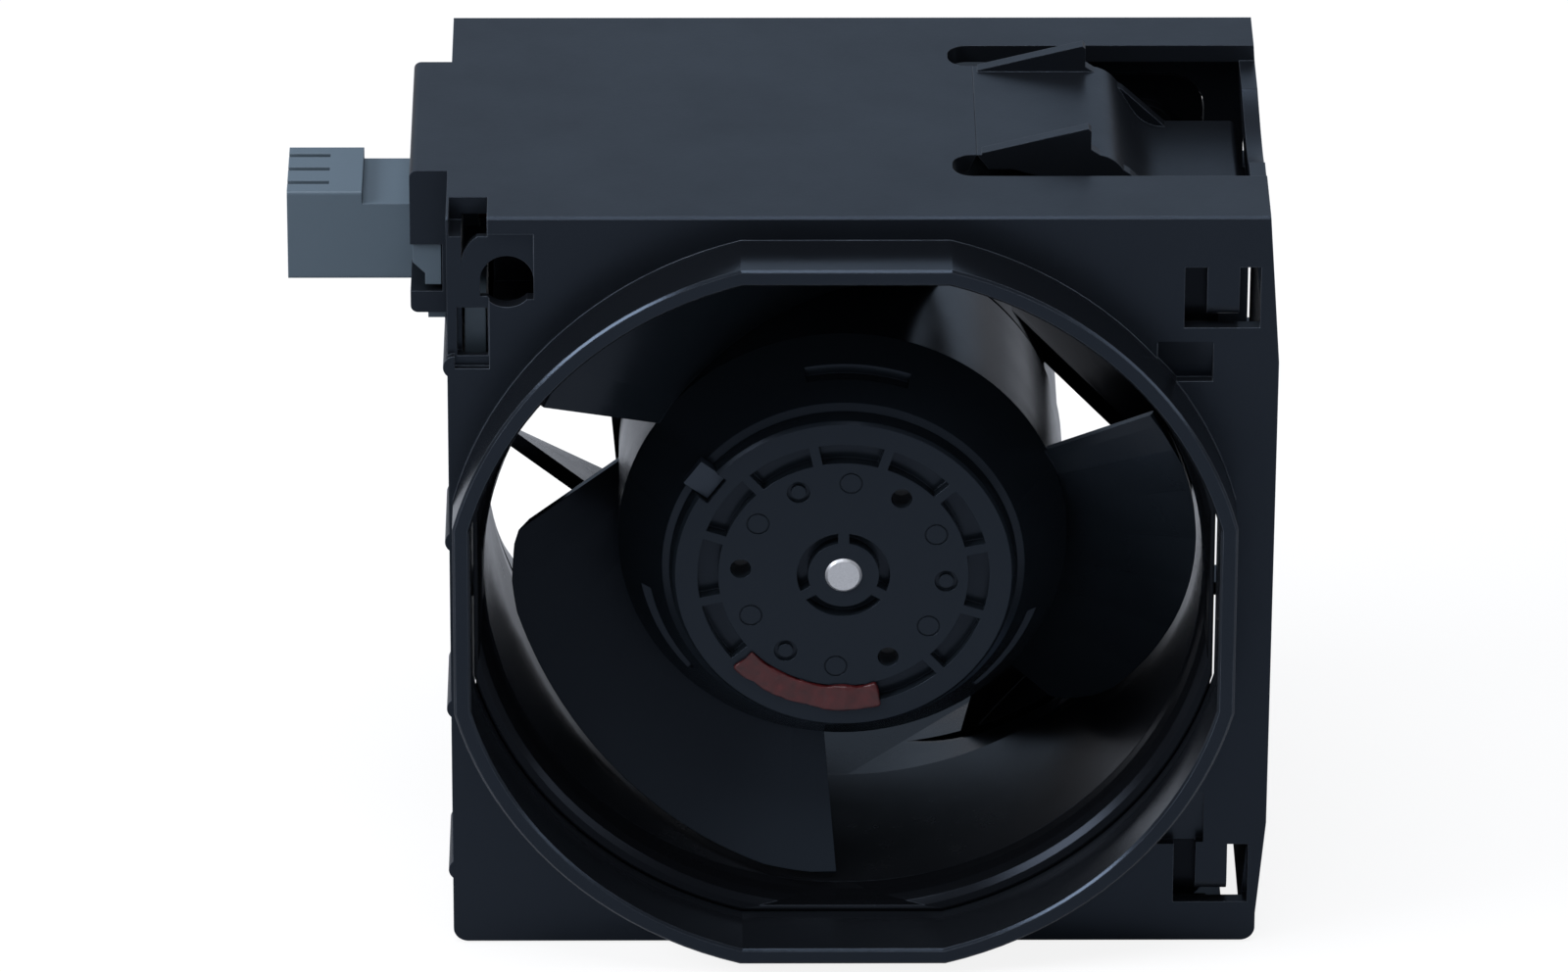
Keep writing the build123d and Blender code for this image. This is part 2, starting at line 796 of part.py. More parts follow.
with BuildPart() as fan_frame:
    for start in (flange_front, fan_back - flange):
        with BuildSketch(facing(start)):
            RectangleRounded(fan_size, fan_size, flange_round)
            for x, z in ((-1, -1), (1, -1), (1, 1), (-1, 1)):
                if (x, z) != (-1, 1) or start != flange_front:
                    with Locations((x * hole_pitch / 2, z * hole_pitch / 2)):
                        Circle(hole_radius, mode=Mode.SUBTRACT)
            if start == flange_front:
                with Locations((-fan_half, fan_half / 2 + 8)):
                    Rectangle(3.4, 20, mode=Mode.SUBTRACT)
        extrude(amount=-flange)
    block(
        arch_pocket,
        (flange_front - 0.1, flange_front + arch_pocket_depth),
        above_axis(arch_pocket_level),
        mode=Mode.SUBTRACT,
    )
    band(0, throat_radius + barrel_wall, flange_front, fan_back)
    with BuildSketch(facing(fan_front)):
        flatted(collar_radius - collar_wall - 0.15, collar_flat - collar_wall - 0.15)
    extrude(amount=-(inlet_lip + 0.1))
    # Corner boxes that carry the widening outlet behind the barrel
    with BuildSketch(facing(fan_back - corner_box)):
        Circle(outlet_radius + barrel_wall + 0.2)
        Rectangle(fan_size, fan_size, mode=Mode.INTERSECT)
        with GridLocations(hole_pitch, hole_pitch, 2, 2):
            Circle(hole_radius, mode=Mode.SUBTRACT)
    extrude(amount=-(corner_box - flange))
    # Caps that close the screw holes of the back flange towards the inside
    with BuildSketch(facing(fan_back - flange - screw_cap)):
        with GridLocations(hole_pitch, hole_pitch, 2, 2):
            Circle(hole_radius + barrel_wall)
    extrude(amount=-screw_cap)
    # Bore with a rounded inlet and an outlet that opens to a square with cut corners
    band(0, throat_radius, fan_front - 1, fan_back + 1, mode=Mode.SUBTRACT)
    for step in range(inlet_steps):
        for turn in (radians(90 * step / inlet_steps), radians(90 * (step + 1) / inlet_steps)):
            spread = 1 - sin(turn)
            with BuildSketch(facing(fan_front + inlet_length * (1 - cos(turn)))):
                flatted(
                    throat_radius + 0.02 + (inlet_radius - throat_radius) * spread,
                    throat_radius + 0.01 + (inlet_flat - throat_radius) * spread,
                )
        loft(ruled=True, mode=Mode.SUBTRACT)
    with BuildSketch(facing(fan_back - outlet_length)):
        flatted(throat_radius + 0.02, throat_radius + 0.01)
    with BuildSketch(facing(fan_back)):
        flatted(outlet_radius, outlet_flat)
    loft(ruled=True, mode=Mode.SUBTRACT)
    # Motor base: cup, floor and a boss for the bearing sleeve
    band(base_radius - cup_wall, base_radius, cup_front, fan_back)
    band(0, cup_middle, floor_front, floor_front + floor_thickness)
    band(sleeve_radius, hub_boss_radius, board_start + board_thickness, floor_front + 0.1)
    # Strut for the leads, and the vanes, from the cup to the walls of the outlet
    with BuildSketch(facing(board_start + board_thickness + 0.1)):
        rail(strut_lines[0], -3.4, 32, lead_strut_width)
        Circle(outlet_radius - 0.4, mode=Mode.INTERSECT)
        Rectangle(2 * outlet_flat + 0.6, 2 * outlet_flat + 0.6, mode=Mode.INTERSECT)
    extrude(amount=-(fan_back - board_start - board_thickness - 0.1))
    add(stator_vanes.part)
    # Trough for the leads: open to the back between the cup and the outlet wall
    trough_front = board_start + board_thickness + 0.1 + lead_floor
    with BuildSketch(facing(trough_front)):
        rail(strut_lines[0], -2.5, 34, lead_trough)
    extrude(amount=-(floor_front - 0.05 - trough_front), mode=Mode.SUBTRACT)
    with BuildSketch(facing(trough_front)):
        rail(strut_lines[0], 0, 24.5, lead_trough)
        Circle(base_radius + 0.3, mode=Mode.SUBTRACT)
        Circle(outlet_radius - 1.4, mode=Mode.INTERSECT)
    extrude(amount=-(fan_back + 1 - trough_front), mode=Mode.SUBTRACT)
    block(
        (lead_start.X + lead_trough / 2 - 0.1, 3.0 - base_radius),
        (trough_front, floor_front - 0.05),
        above_axis((lead_row - 0.75, lead_row + 2.0)),
        mode=Mode.SUBTRACT,
    )
save("fan_frame", fan_frame.part)

# Bearing sleeve with a shoulder between the two bearings
with BuildPart() as bearing_sleeve:
    band(bearing_outer, sleeve_radius, sleeve_start, sleeve_end)
    band(outer_land, bearing_outer, front_bearing + bearing_width, rear_bearing)
save("bearing_sleeve", bearing_sleeve.part)

# Two ball bearings
groove_radius = ball_radius + race_gap
for place, start in (("front", front_bearing), ("rear", rear_bearing)):
    middle_depth = start + bearing_width / 2
    with BuildPart() as outer_race:
        band(outer_land, bearing_outer, start, start + bearing_width)
        with BuildSketch(meridian(0)):
            with Locations((pitch_radius, middle_depth)):
                Circle(groove_radius)
        revolve(axis=Axis((0, 0, axis_height), (0, 1, 0)), mode=Mode.SUBTRACT)
    save(f"{place}_outer_race", outer_race.part)
    with BuildPart() as inner_race:
        band(shaft_radius, inner_land, start, start + bearing_width)
        with BuildSketch(meridian(0)):
            with Locations((pitch_radius, middle_depth)):
                Circle(groove_radius)
        revolve(axis=Axis((0, 0, axis_height), (0, 1, 0)), mode=Mode.SUBTRACT)
    save(f"{place}_inner_race", inner_race.part)
    ball_spots = [
        spot(pitch_radius, 90 + k * 360 / ball_count, middle_depth) for k in range(ball_count)
    ]
    with BuildPart() as ball_set:
        with Locations(*ball_spots):
            Sphere(ball_radius)
    save(f"{place}_balls", ball_set.part)
    with BuildPart() as cage:
        band(
            pitch_radius - cage_wall / 2,
            pitch_radius + cage_wall / 2,
            middle_depth - cage_width / 2,
            middle_depth + cage_width / 2,
        )
        with Locations(*ball_spots):
            Sphere(ball_radius + cage_gap / 2, mode=Mode.SUBTRACT)
    save(f"{place}_cage", cage.part)

# Shaft with a groove for the clip
clip_start = rear_bearing + bearing_width + washer_thickness + 0.05
with BuildPart() as shaft:
    band(0, shaft_radius, shaft_start, shaft_end)
    band(
        shaft_radius - clip_groove,
        shaft_radius + 1,
        clip_start - 0.05,
        clip_start + clip_thickness + 0.05,
        mode=Mode.SUBTRACT,
    )
    chamfer(shaft.edges().group_by(Axis.Y)[0], 0.2)
    chamfer(shaft.edges().group_by(Axis.Y)[-1], 0.2)
save("shaft", shaft.part)

# Washer and open ring that hold the shaft behind the rear bearing
with BuildPart() as thrust_washer:
    band(
        shaft_radius,
        inner_land + 0.3,
        rear_bearing + bearing_width,
        rear_bearing + bearing_width + washer_thickness,
    )
save("thrust_washer", thrust_washer.part)
with BuildPart() as retaining_clip:
    with BuildSketch(facing(clip_start)):
        Circle(clip_radius)
        Circle(shaft_radius - clip_groove + 0.02, mode=Mode.SUBTRACT)
        with Locations((0, -clip_radius)):
            Rectangle(1.4 * shaft_radius, 2 * clip_radius, mode=Mode.SUBTRACT)
    extrude(amount=-clip_thickness)
save("retaining_clip", retaining_clip.part)

# Bush that joins the shaft to the hub
bush_start = hub_face + ring_groove_depth + 0.3
bush_end = bush_start + bush_length
with BuildPart() as shaft_bush:
    band(shaft_radius, bush_radius, bush_start, bush_end)
    chamfer(shaft_bush.edges().group_by(Axis.Y)[-1], 0.25)
save("shaft_bush", shaft_bush.part)

# Coil spring that loads the bearings
spring_length = front_bearing - bush_end - 1.3 * spring_wire
with BuildPart() as preload_spring:
    with BuildLine():
        turns = Helix(
            pitch=spring_length / spring_turns,
            height=spring_length,
            radius=spring_radius,
            center=(0, front_y + bush_end + 0.65 * spring_wire, axis_height),
            direction=(0, 1, 0),
        )
    with BuildSketch(Plane(origin=turns @ 0, z_dir=turns % 0)):
        Circle(spring_wire / 2)
    sweep()
save("preload_spring", preload_spring.part)

# Hub profile: flat face, small step, cone and cylinder
shoulder_start = hub_face + step_depth + 0.3
cone_start = step_radius + 0.5
cone_angle = atan2(hub_radius - cone_start, hub_face + shoulder_depth - shoulder_start)
face_back = hub_face + face_thickness


def cone_radius(depth, inset):
    """Radius of the cone at a depth, moved inwards by an even amount."""
    return cone_start + (depth - shoulder_start) * tan(cone_angle) - inset / cos(cone_angle)


def cone_depth(radius, inset):
    """Depth at which the inset cone reaches a radius."""
    return shoulder_start + (radius - cone_start + inset / cos(cone_angle)) / tan(cone_angle)


# Blade outlines: straight sections from root to tip along the chord
chord_steps = (0.0, 0.03, 0.1, 0.22, 0.36, 0.5, 0.64, 0.78, 0.9, 0.97, 1.0)
sections = []
for part_way in chord_steps:
    ends = []
    for lead, trail in ((lead_root, trail_root), (lead_tip, trail_tip)):
        ends.append(
            spot(
                lead[0],
                lead[1] + (trail[1] - lead[1]) * part_way,
                lead[2] + (trail[2] - lead[2]) * part_way**1.25,
            )
        )
    root, tip = ends
    way = (tip - root).normalized()
    root = root - way * blade_sink
    tip = tip + way * 0.8
    rise = min(part_way, 1 - part_way) / 0.1
    thickness = edge_thickness + (blade_thickness - edge_thickness) * min(1, rise)
    half = Vector(0, thickness / 2, 0)
    sections.append(Wire.make_polygon([root - half, tip - half, tip + half, root + half]))
blade_solid = Solid.make_loft(sections, ruled=True)
with BuildPart() as blade:
    add(blade_solid)
    with BuildSketch(meridian(0)):
        with BuildLine():
            Polyline(
                (hub_radius - blade_sink - 1, 0),
                (tip_radius - 1.6, lead_tip[2] - 1.5),
                (tip_radius - 1.3, lead_tip[2] - 0.5),
                (tip_radius - 0.3, lead_tip[2] + 0.1),
                (tip_radius, lead_tip[2] + 0.9),
                (tip_radius, trail_tip[2] - 3.2),
                (tip_radius - 0.35, trail_tip[2] - 1.9),
                (tip_radius - 1.2, trail_tip[2] - 0.2),
                (tip_radius - 3.0, trail_tip[2] + 2.0),
                (tip_radius - 4.5, hub_end + 2),
                (hub_radius - blade_sink - 1, hub_end + 2),
                close=True,
            )
        make_face()
    revolve(axis=Axis((0, 0, axis_height), (0, 1, 0)), mode=Mode.INTERSECT)
blades = [
    blade.part.rotate(Axis((0, 0, axis_height), (0, 1, 0)), k * 360 / blade_count)
    for k in range(blade_count)
]

# Impeller: hub and blades in one moulding
with BuildPart() as impeller:
    with BuildSketch(meridian(0)):
        with BuildLine():
            Polyline(
                (shaft_radius, hub_face),
                (face_radius - 0.25, hub_face),
                (face_radius, hub_face + 0.25),
                (step_radius - 0.1, hub_face + step_depth),
                (cone_start, shoulder_start),
                (hub_radius, hub_face + shoulder_depth),
                (hub_radius, hub_end),
                (hub_radius - hub_wall, hub_end),
                (hub_radius - hub_wall, cone_depth(hub_radius - hub_wall, hub_wall)),
                (cone_radius(face_back, hub_wall), face_back),
                (bush_radius + hub_wall, face_back),
                (bush_radius + hub_wall, bush_end - 0.3),
                (bush_radius, bush_end - 0.3),
                (bush_radius, bush_start),
                (shaft_radius, bush_start),
                close=True,
            )
        make_face()
    revolve(axis=Axis((0, 0, axis_height), (0, 1, 0)))
    for one in blades:
        add(one)
    # Ring groove about the boss, crossed by three spokes
    with BuildSketch(facing(hub_face)):
        Circle(ring_groove_radius)
        Circle(boss_radius, mode=Mode.SUBTRACT)
        for angle in spoke_angles:
            turn = radians(angle)
            with Locations((ring_groove_radius * cos(turn), ring_groove_radius * sin(turn))):
                Rectangle(3, spoke_width, rotation=angle, mode=Mode.SUBTRACT)
    extrude(amount=-ring_groove_depth, mode=Mode.SUBTRACT)
    # Balance groove divided by ribs
    with BuildSketch(facing(hub_face)):
        Circle(pocket_outer)
        Circle(pocket_inner, mode=Mode.SUBTRACT)
        for k in range(mark_count):
            angle = rib_first + k * 360 / mark_count
            turn = radians(angle)
            middle = (pocket_inner + pocket_outer) / 2
            with Locations((middle * cos(turn), middle * sin(turn))):
                Rectangle(3, rib_width, rotation=angle, mode=Mode.SUBTRACT)
    extrude(amount=-pocket_depth, mode=Mode.SUBTRACT)
    # Marks between boss and groove: holes, ring dimples and faint circles in turn
    for k in range(mark_count):
        angle = mark_first + k * 360 / mark_count
        turn = radians(angle)
        mark_spot = (mark_circle * cos(turn), mark_circle * sin(turn))
        if k % 4 == 1:
            with BuildSketch(facing(hub_face)):
                with Locations(mark_spot):
                    Circle(sight_hole_radius)
            extrude(amount=-(face_thickness + 1), mode=Mode.SUBTRACT)
        elif k % 4 == 3:
            with BuildSketch(facing(hub_face)):
                with Locations(mark_spot):
                    Circle(dimple_radius)
                    Circle(dimple_radius - 0.35, mode=Mode.SUBTRACT)
            extrude(amount=-dimple_depth, mode=Mode.SUBTRACT)
        else:
            with BuildSketch(facing(hub_face)):
                with Locations(mark_spot):
                    Circle(dimple_radius)
                    Circle(dimple_radius - 0.12, mode=Mode.SUBTRACT)
            extrude(amount=-dimple_depth / 3, mode=Mode.SUBTRACT)
    # Arc slots on the cone
    slot_floor = cone_depth(slot_radius, 0) + 0.3
    for k in range(blade_count):
        middle_angle = slot_first + k * 360 / blade_count
        with BuildSketch(facing(hub_face)):
            with BuildLine():
                CenterArc(
                    (0, 0), slot_radius - slot_width / 2, middle_angle - slot_span / 2, slot_span
                )
                CenterArc(
                    (0, 0), slot_radius + slot_width / 2, middle_angle - slot_span / 2, slot_span
                )
                for edge_angle in (-slot_span / 2, slot_span / 2):
                    turn = radians(middle_angle + edge_angle)
                    low = slot_radius - slot_width / 2
                    high = slot_radius + slot_width / 2
                    Line(
                        (low * cos(turn), low * sin(turn)), (high * cos(turn), high * sin(turn))
                    )
            make_face()
        extrude(amount=hub_face - slot_floor, mode=Mode.SUBTRACT)
    # Seat for the balance tab
    seat = Plane(origin=spot(tab_radius, tab_angle, hub_face - 1), z_dir=(0, -1, 0))
    seat = Plane(
        origin=seat.origin,
        x_dir=(cos(radians(tab_angle)), 0, sin(radians(tab_angle))),
        z_dir=(0, -1, 0),
    )
    with BuildSketch(seat):
        Rectangle(tab_size + 0.2, tab_size + 0.2)
    extrude(amount=-(step_depth + 1), mode=Mode.SUBTRACT)
save("impeller", impeller.part)

# Balance tab and putty
with BuildPart() as balance_tab:
    with BuildSketch(seat.offset(-(1 + step_depth - tab_height))):
        Rectangle(tab_size, tab_size)
    extrude(amount=-tab_height)
save("balance_tab", balance_tab.part)
with BuildPart() as balance_putty:
    with BuildSketch(facing(hub_face - putty_height)):
        with BuildLine():
            putty_span = putty_end - putty_start
            CenterArc((0, 0), pocket_inner + 0.1, putty_start, putty_span)
            CenterArc((0, 0), pocket_outer - 0.1, putty_start, putty_span)
            for angle in (putty_start, putty_end):
                turn = radians(angle)
                low = pocket_inner + 0.1
                high = pocket_outer - 0.1
                Line((low * cos(turn), low * sin(turn)), (high * cos(turn), high * sin(turn)))
        make_face()
    extrude(amount=-(putty_height + pocket_depth - 0.05))
    add(impeller.part, mode=Mode.SUBTRACT)
save("balance_putty", balance_putty.part)

# Steel yoke inside the hub and the magnet ring inside the yoke
yoke_inset = hub_wall + yoke_gap
inner_inset = yoke_inset + yoke_wall
yoke_front = face_back + yoke_gap
with BuildPart() as rotor_yoke:
    with BuildSketch(meridian(0)):
        with BuildLine():
            Polyline(
                (bush_radius + hub_wall + 0.2, yoke_front),
                (cone_radius(yoke_front, yoke_inset), yoke_front),
                (yoke_radius, cone_depth(yoke_radius, yoke_inset)),
                (yoke_radius, yoke_end),
                (yoke_radius - yoke_wall, yoke_end),
                (yoke_radius - yoke_wall, cone_depth(yoke_radius - yoke_wall, inner_inset)),
                (cone_radius(yoke_front + yoke_wall, inner_inset), yoke_front + yoke_wall),
                (bush_radius + hub_wall + 0.2, yoke_front + yoke_wall),
                close=True,
            )
        make_face()
    revolve(axis=Axis((0, 0, axis_height), (0, 1, 0)))
save("rotor_yoke", rotor_yoke.part)
with BuildPart() as magnet_ring:
    band(magnet_radius - magnet_thickness, magnet_radius, magnet_start, magnet_end)
    chamfer(magnet_ring.edges(), 0.3)
save("magnet_ring", magnet_ring.part)

# Stator core, its two insulators and six windings
tooth_angles = [k * 360 / tooth_count for k in range(tooth_count)]


with BuildPart() as stator_core:
    with BuildSketch(facing(stack_start)):
        Circle(core_radius)
        Circle(core_radius - shoe_thickness, mode=Mode.SUBTRACT)
        for angle in tooth_angles:
            gap_turn = angle + 180 / tooth_count
            turn = radians(gap_turn)
            with Locations((core_radius * cos(turn), core_radius * sin(turn))):
                Rectangle(
                    6,
                    2 * core_radius * sin(radians(180 / tooth_count - shoe_span / 2)),
                    rotation=gap_turn,
                    mode=Mode.SUBTRACT,
                )
        Circle(core_hub)
        for angle in tooth_angles:
            turn = radians(angle)
            middle = (core_hub + core_radius) / 2 - 0.6
            with Locations((middle * cos(turn), middle * sin(turn))):
                Rectangle(core_radius - core_hub, tooth_width, rotation=angle)
        Circle(sleeve_radius, mode=Mode.SUBTRACT)
    extrude(amount=stack_start - stack_end)
save("stator_core", stator_core.part)
pin_angles = [30 + 120 * k for k in range(3)]
for place, start in (("front", stack_start - insulator_thickness), ("rear", stack_end)):
    with BuildPart() as insulator:
        with BuildSketch(facing(start)):
            Circle(insulator_hub)
            for angle in tooth_angles:
                turn = radians(angle)
                tip = core_radius - shoe_thickness
                middle = (insulator_hub + tip) / 2 - 0.2
                with Locations((middle * cos(turn), middle * sin(turn))):
                    Rectangle(tip - insulator_hub + 0.2, tooth_width, rotation=angle)
                with Locations(((tip - 0.4) * cos(turn), (tip - 0.4) * sin(turn))):
                    Rectangle(0.7, 2 * tooth_width, rotation=angle)
            Circle(sleeve_radius, mode=Mode.SUBTRACT)
        extrude(amount=-insulator_thickness)
        if place == "rear":
            with BuildSketch(facing(start)):
                for angle in pin_angles:
                    turn = radians(angle)
                    with Locations((pin_ring * cos(turn), pin_ring * sin(turn))):
                        Circle(post_radius, mode=Mode.ADD)
            extrude(amount=-insulator_thickness - 1, mode=Mode.SUBTRACT)
    save(f"{place}_insulator", insulator.part)
inner_width = tooth_width + 2 * coil_gap
inner_height = stack_end - stack_start + 2 * insulator_thickness + 2 * coil_gap
coil_middle = (stack_start + stack_end) / 2
for number, angle in enumerate(tooth_angles, 1):
    turn = radians(angle)
    with BuildPart() as coil:
        with BuildSketch(
            Plane(
                origin=spot(coil_start, angle, coil_middle),
                x_dir=(0, 1, 0),
                z_dir=(cos(turn), 0, sin(turn)),
            )
        ):
            RectangleRounded(
                inner_height + 2 * coil_build, inner_width + 2 * coil_build, coil_build
            )
            RectangleRounded(inner_height, inner_width, 0.1, mode=Mode.SUBTRACT)
        extrude(amount=coil_length)
    save(f"coil_{number}", coil.part)
with BuildPart() as winding_pins:
    with BuildSketch(facing(stack_end)):
        for angle in pin_angles:
            turn = radians(angle)
            with Locations((pin_ring * cos(turn), pin_ring * sin(turn))):
                Circle(post_radius)
    extrude(amount=-(board_start + board_thickness + 0.3 - stack_end))
save("winding_pins", winding_pins.part)

# Drive board and its parts
with BuildPart() as circuit_board:
    with BuildSketch(facing(board_start)):
        Circle(board_radius)
        Circle(sleeve_radius, mode=Mode.SUBTRACT)
        for angle in pin_angles:
            turn = radians(angle)
            with Locations((pin_ring * cos(turn), pin_ring * sin(turn))):
                Circle(post_radius + 0.05, mode=Mode.SUBTRACT)
    extrude(amount=-board_thickness)
save("circuit_board", circuit_board.part)
board_back = board_start + board_thickness
with BuildPart() as driver_chip:
    turn = radians(chip_angle)
    with BuildSketch(facing(board_back)):
        with Locations((chip_radius * cos(turn), chip_radius * sin(turn))):
            Rectangle(chip_size[0], chip_size[1], rotation=chip_angle)
    extrude(amount=-chip_size[2])
save("driver_chip", driver_chip.part)
with BuildPart() as hall_sensor:
    turn = radians(sensor_angle)
    with BuildSketch(facing(board_start - sensor_size[2])):
        with Locations((sensor_radius * cos(turn), sensor_radius * sin(turn))):
            Rectangle(sensor_size[1], sensor_size[0], rotation=sensor_angle)
    extrude(amount=-sensor_size[2])
save("hall_sensor", hall_sensor.part)
for number, angle in enumerate(capacitor_angles, 1):
    turn = radians(angle)
    with BuildPart() as capacitor:
        with BuildSketch(facing(board_back)):
            with Locations((capacitor_ring * cos(turn), capacitor_ring * sin(turn))):
                Circle(capacitor_radius)
        extrude(amount=-capacitor_height)
    save(f"capacitor_{number}", capacitor.part)
with BuildPart() as motor_label:
    label_front = floor_front + floor_thickness
    band(0, label_radius, label_front, label_front + label_thickness)
save("motor_label", motor_label.part)

# Plug housing with two rows of cells, top slots and a snap ear
with BuildPart() as plug_housing:
    block((plug_left, plug_right), (plug_front, plug_back), (plug_low, plug_top))
    fillet(plug_housing.edges().filter_by(Axis.X), 0.3)
    block(
        (bracket_left - plug_ledge_length, plug_right + 1),
        (plug_front - 1, plug_back + 1),
        (plug_top - plug_ledge, plug_top + 1),
        mode=Mode.SUBTRACT,
    )
    for level in rows:
        for column in columns:
            half = cell_size / 2
            block(
                (plug_left + mouth_wall, plug_right + 1),
                (column - half, column + half),
                (level - half, level + half),
                mode=Mode.SUBTRACT,
            )
            block(
                (plug_left - 1, plug_left + mouth_wall + 0.1),
                (column - cell_mouth / 2, column + cell_mouth / 2),
                (level - cell_mouth / 2, level + cell_mouth / 2),
                mode=Mode.SUBTRACT,
            )
    for column in columns:
        block(
            (plug_left - 1, plug_left + slot_length),
            (column - slot_gap / 2, column + slot_gap / 2),
            (rows[0], plug_top + 1),
            mode=Mode.SUBTRACT,
        )
    with BuildSketch(facing(bracket_front + 0.25)):
        with BuildLine():
            Polyline(
                (ear_left, ear_level[1]),
                (bracket_window_right - 0.1, ear_level[1]),
                (bracket_window_right - 0.1, ear_level[0]),
                (ear_left + ear_cut, ear_level[0]),
                (ear_left + ear_cut, ear_level[0] + 1.0),
                (ear_left, ear_level[0] + 2.0),
                close=True,
            )
        make_face()
    extrude(amount=-(plug_front + 0.1 - bracket_front - 0.25))
save("plug_housing", plug_housing.part)

# Keeper behind the left wall, its foot passing out under the bracket
with BuildPart() as plug_keeper:
    block(keeper_across, keeper_depth, above_axis(keeper_level))
    block(keeper_across, (keeper_lug_start, keeper_depth[0] + 0.1), above_axis(keeper_lug))
    block(
        (keeper_foot[0], keeper_across[0] + 0.1),
        (keeper_depth[0] + 0.2, keeper_depth[1] - 1.2),
        above_axis((keeper_foot[1], keeper_foot[2])),
    )
save("plug_keeper", plug_keeper.part)

# Contacts: crimp barrel and square pin in every cell
with BuildPart() as plug_contacts:
    for level in rows:
        for column in columns:
            start = plug_right - lead_entry
            for size, near, far in (
                (crimp_size, start, start - crimp_length),
                (pin_width, start - crimp_length + 0.1, start - pin_length),
            ):
                block(
                    (far, near),
                    (column - size / 2, column + size / 2),
                    (level - size / 2, level + size / 2),
                )
save("plug_contacts", plug_contacts.part)

# Leads: up from the board, along the trough, over the barrel and into the plug
lead_slope = lead_way.X / lead_way.Y
landings = [(rows[0], column) for column in columns] + [(rows[1], columns[-1])]
for number, name in enumerate(lead_names):
    level = lead_first_level + number * lead_pitch
    pad_x = lead_first_pad + number * pad_pitch
    run_x = lead_first_run - number * run_pitch
    landing_z, landing_y = landings[number]
    points = [
        (pad_x, board_back, lead_row),
        (pad_x, level, lead_row),
        (lead_start.X + lead_slope * lead_row, level, lead_row),
        (lead_start.X + lead_slope * lead_turn, level, lead_turn),
        (run_x, level, lead_turn),
        (run_x, landing_y, landing_z - axis_height),
        (plug_right - lead_entry, landing_y, landing_z - axis_height),
    ]
    with BuildPart() as lead:
        with BuildLine() as route:
            FilletPolyline(
                *[(x, front_y + depth, axis_height + z) for x, depth, z in points],
                radius=lead_bend,
            )
        with BuildSketch(Plane(origin=route.line @ 0, z_dir=route.line % 0)):
            Circle(lead_radius)
        sweep()
    run = route.wires()[0].length
    expected = pi * lead_radius**2 * run
    print(
        f"lead_{name}: length {run:.2f}, bend {lead_bend},",
        f"volume {lead.part.volume:.3f}, section times length {expected:.3f}",
    )
    save(f"lead_{name}", lead.part)
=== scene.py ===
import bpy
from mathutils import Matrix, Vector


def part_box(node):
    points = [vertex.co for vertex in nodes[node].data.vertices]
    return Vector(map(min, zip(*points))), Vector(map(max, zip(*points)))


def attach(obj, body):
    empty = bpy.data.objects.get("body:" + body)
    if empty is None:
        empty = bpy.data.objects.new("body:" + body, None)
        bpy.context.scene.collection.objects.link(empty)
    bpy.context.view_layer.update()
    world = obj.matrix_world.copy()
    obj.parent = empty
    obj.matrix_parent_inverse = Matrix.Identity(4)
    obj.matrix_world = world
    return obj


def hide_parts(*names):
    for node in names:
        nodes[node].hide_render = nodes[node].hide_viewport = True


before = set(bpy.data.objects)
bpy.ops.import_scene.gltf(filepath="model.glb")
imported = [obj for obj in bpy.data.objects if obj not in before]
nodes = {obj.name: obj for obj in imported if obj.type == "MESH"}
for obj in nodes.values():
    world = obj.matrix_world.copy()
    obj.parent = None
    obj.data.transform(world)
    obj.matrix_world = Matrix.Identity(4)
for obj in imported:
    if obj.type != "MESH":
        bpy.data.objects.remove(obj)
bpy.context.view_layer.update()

from math import cos, radians, sin

import bpy
from mathutils import Matrix, Vector

bpy.ops.object.select_all(action="DESELECT")

# Lengths of the object, in metres
AXIS_Z = 0.0325
FRONT_Y = -0.019
STROKE_RADIUS = 0.01125
STROKE_WIDTH = 0.0021
STROKE_THICK = 0.0009

# Where the stroke starts round the hub and how far it goes, in degrees
STROKE_START = 223
STROKE_SWEEP = 62


# Colours and nodes

def tone(code, alpha=1.0):
    """Linear colour from an sRGB hex value."""
    parts = [int(code[k:k + 2], 16) / 255 for k in (1, 3, 5)]
    return [c / 12.92 if c <= 0.04045 else ((c + 0.055) / 1.055) ** 2.4 for c in parts] + [alpha]


def put(tree, kind, settings=None, links=None):
    """Adds a node, sets its sockets and properties, and links sockets to it."""
    node = tree.nodes.new(kind)
    for key, value in (settings or {}).items():
        if isinstance(key, int) or key in node.inputs:
            node.inputs[key].default_value = value
        else:
            setattr(node, key, value)
    for key, source in (links or {}).items():
        tree.links.new(source, node.inputs[key])
    return node


def fresh(name):
    """New material with an empty tree, its Principled shader and the object's coordinates."""
    material = bpy.data.materials.new(name)
    material.use_nodes = True
    tree = material.node_tree
    tree.nodes.clear()
    out = put(tree, "ShaderNodeOutputMaterial")
    shader = put(tree, "ShaderNodeBsdfPrincipled")
    tree.links.new(shader.outputs["BSDF"], out.inputs["Surface"])
    place = put(tree, "ShaderNodeTexCoord").outputs["Object"]
    return material, tree, shader, place


def edge_mask(tree, radius_mm, low, high):
    """1 on the outer and inner edges of a piece, 0 on its faces."""
    round_normal = put(tree, "ShaderNodeBevel", {"samples": 6, "Radius": radius_mm / 1000})
    plain = put(tree, "ShaderNodeNewGeometry")
    meet = put(
        tree,
        "ShaderNodeVectorMath",
        {"operation": "DOT_PRODUCT"},
        {0: round_normal.outputs["Normal"], 1: plain.outputs["Normal"]},
    )
    spread = put(
        tree,
        "ShaderNodeMapRange",
        {"From Min": high, "From Max": low, "To Min": 0.0, "To Max": 1.0},
        {"Value": meet.outputs["Value"]},
    )
    return spread.outputs["Result"], round_normal.outputs["Normal"]


